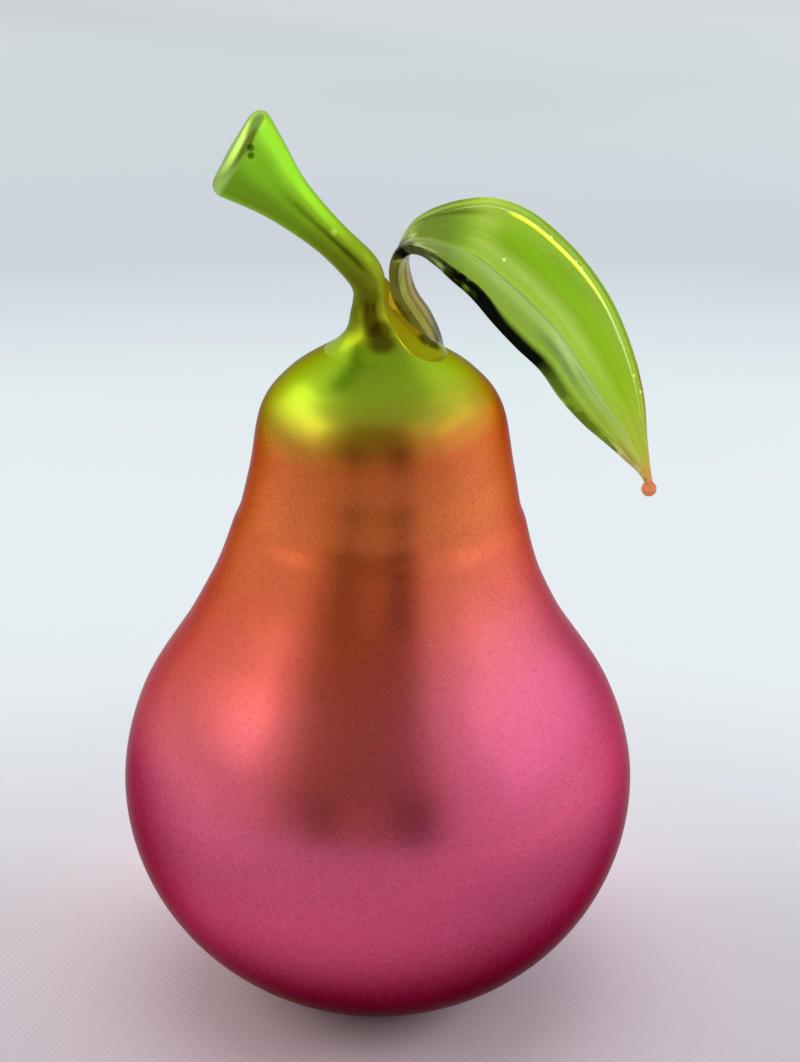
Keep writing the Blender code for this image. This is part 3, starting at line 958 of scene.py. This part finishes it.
world = bpy.data.worlds.new("studio")
bpy.context.scene.world = world
world.use_nodes = True
sheet = Shade(world.node_tree)
way = sheet.node("ShaderNodeTexCoord", out=0)
x, y, z = (way.axis(i) for i in range(3))
turn = sheet.math("ARCTAN2", x, -y) / (2 * math.pi) + 0.5
angle = (turn - 0.5) * 360
lift = sheet.math("ARCSINE", z) * (180 / math.pi)


def wall_patch(left, right, top):
    """A patch of the wall. Each edge fades between two angles."""
    return angle.rise(*left) * angle.fall(*right) * lift.fall(*top)


# %% The studio round the pear
walls = ramp(turn, [(degrees / 360 + 0.5, tone) for degrees, tone in WALL_TONES])
room = paint(walls, [
    (wall_patch((-50, -40), (28, 36), (2, 5)), (0.50, 0.46, 0.36)),
    (wall_patch((-18, -10), (2, 8), (14, 24)) * 0.8, (0.34, 0.30, 0.17)),
    (wall_patch((6, 12), (22, 28), (16, 22)), (0.10, 0.06, 0.06)),
    (wall_patch((-33, -28), (-20, -14), (16, 22)), (0.15, 0.12, 0.04)),
    (lift.rise(46, 66), (0.40, 0.41, 0.40)),
])
seen = most(sheet.node("ShaderNodeLightPath", out=ray) for ray in ("Is Camera Ray", "Is Transmission Ray"))
background = world.node_tree.nodes["Background"]
feed(background, "Color", sheet.blend(seen, room, CAMERA_SEES))
background.inputs["Strength"].default_value = 1.0
print("the studio has", len(WALL_TONES), "wall tones")

# %% [markdown]
# Three silk boxes stand close to the pear, where a wall far away would mirror too evenly. Each is a
# glowing sheet that fades out at its edges, and it lights the pear and shows in its mirror images, but
# the camera doesn't see it.

# %% Three soft side boxes
BOX_FADE = 0.12
BOX_FOOT_FADE = 0.09
BOX_GLOW_MARGIN = 0.04


def side_box(name, x, near, far, low, high, glow):
    bm = bmesh.new()
    bmesh.ops.create_grid(bm, x_segments=1, y_segments=1, size=0.5)
    for vertex in bm.verts:
        away = (near + far) / 2 + vertex.co.x * (far - near)
        vertex.co = (x, away, (low + high) / 2 + vertex.co.y * (high - low))
    box = loose_piece(name, bm)
    box.visible_camera = False
    box.visible_shadow = False
    silk = bpy.data.materials.new(name + "_silk")
    silk.use_nodes = True
    sheet = Shade(silk.node_tree)
    place = sheet.node("ShaderNodeTexCoord", out="Object")
    y, z = place.axis(1), place.axis(2)
    sides = y.rise(near, near + BOX_FADE) * y.fall(far - BOX_FADE, far)
    shape = sides * z.rise(low, low + BOX_FOOT_FADE) * z.fall(high - BOX_FADE, high)
    climb = z.rise(low + BOX_FOOT_FADE / 2, high - BOX_FADE - BOX_GLOW_MARGIN)
    light = sheet.node("ShaderNodeEmission", {}, {"Color": sheet.blend(climb, *glow)})
    clear = sheet.node("ShaderNodeBsdfTransparent")
    done = sheet.node("ShaderNodeMixShader", {}, {0: shape, 1: clear, 2: light})
    feed(silk.node_tree.nodes["Material Output"], "Surface", done)
    wear(box, silk)


side_box("left_box", -0.42, -0.295, 0.46, 0.075, 0.62, ((0.58, 0.56, 0.54), (1.84, 1.84, 1.70)))
side_box("right_box", 0.42, -0.30, 0.48, 0.062, 0.38, ((0.92, 1.03, 1.16), (1.04, 1.14, 1.26)))
side_box("high_right_box", 0.43, -0.34, 0.26, 0.300, 0.54, ((1.1, 1.2, 1.2), (1.3, 1.4, 1.4)))


# %% Soft lamps overhead and at both sides
def soft_lamp(name, spot, size, watts):
    data = bpy.data.lights.new(name, "AREA")
    data.shape = "DISK"
    data.size = size
    data.energy = watts
    lamp = bpy.data.objects.new(name, data)
    lamp.location = spot
    lamp.rotation_euler = Vector(spot).to_track_quat("Z", "Y").to_euler()
    lamp.visible_glossy = False
    lamp.visible_transmission = False
    bpy.context.scene.collection.objects.link(lamp)
    print(name, "gives", watts, "W")


soft_lamp("overhead", (0.0, 0.2, 1.3), 1.2, 5.7)
soft_lamp("left_fill", (-1.40, 0.30, 0.55), 0.8, 6.0)
soft_lamp("right_fill", (1.40, 0.30, 0.55), 0.8, 9.0)

# %% The camera, a little above the pear and looking down at it
LENS = 80.2
NEAREST = 10 * MM
CAMERA_PLACE = (0.00462, -0.4605, 0.2921)
DEGREES_DOWN = 22.0

view = bpy.data.cameras.new("camera")
view.lens = LENS
view.clip_start = NEAREST
camera = bpy.data.objects.new("camera", view)
camera.location = CAMERA_PLACE
camera.rotation_euler = (math.radians(90.0 - DEGREES_DOWN), 0.0, 0.0)
bpy.context.scene.collection.objects.link(camera)
bpy.context.scene.camera = camera
bpy.context.scene.view_settings.view_transform = "Standard"
print("the camera looks down by", DEGREES_DOWN, "degrees")
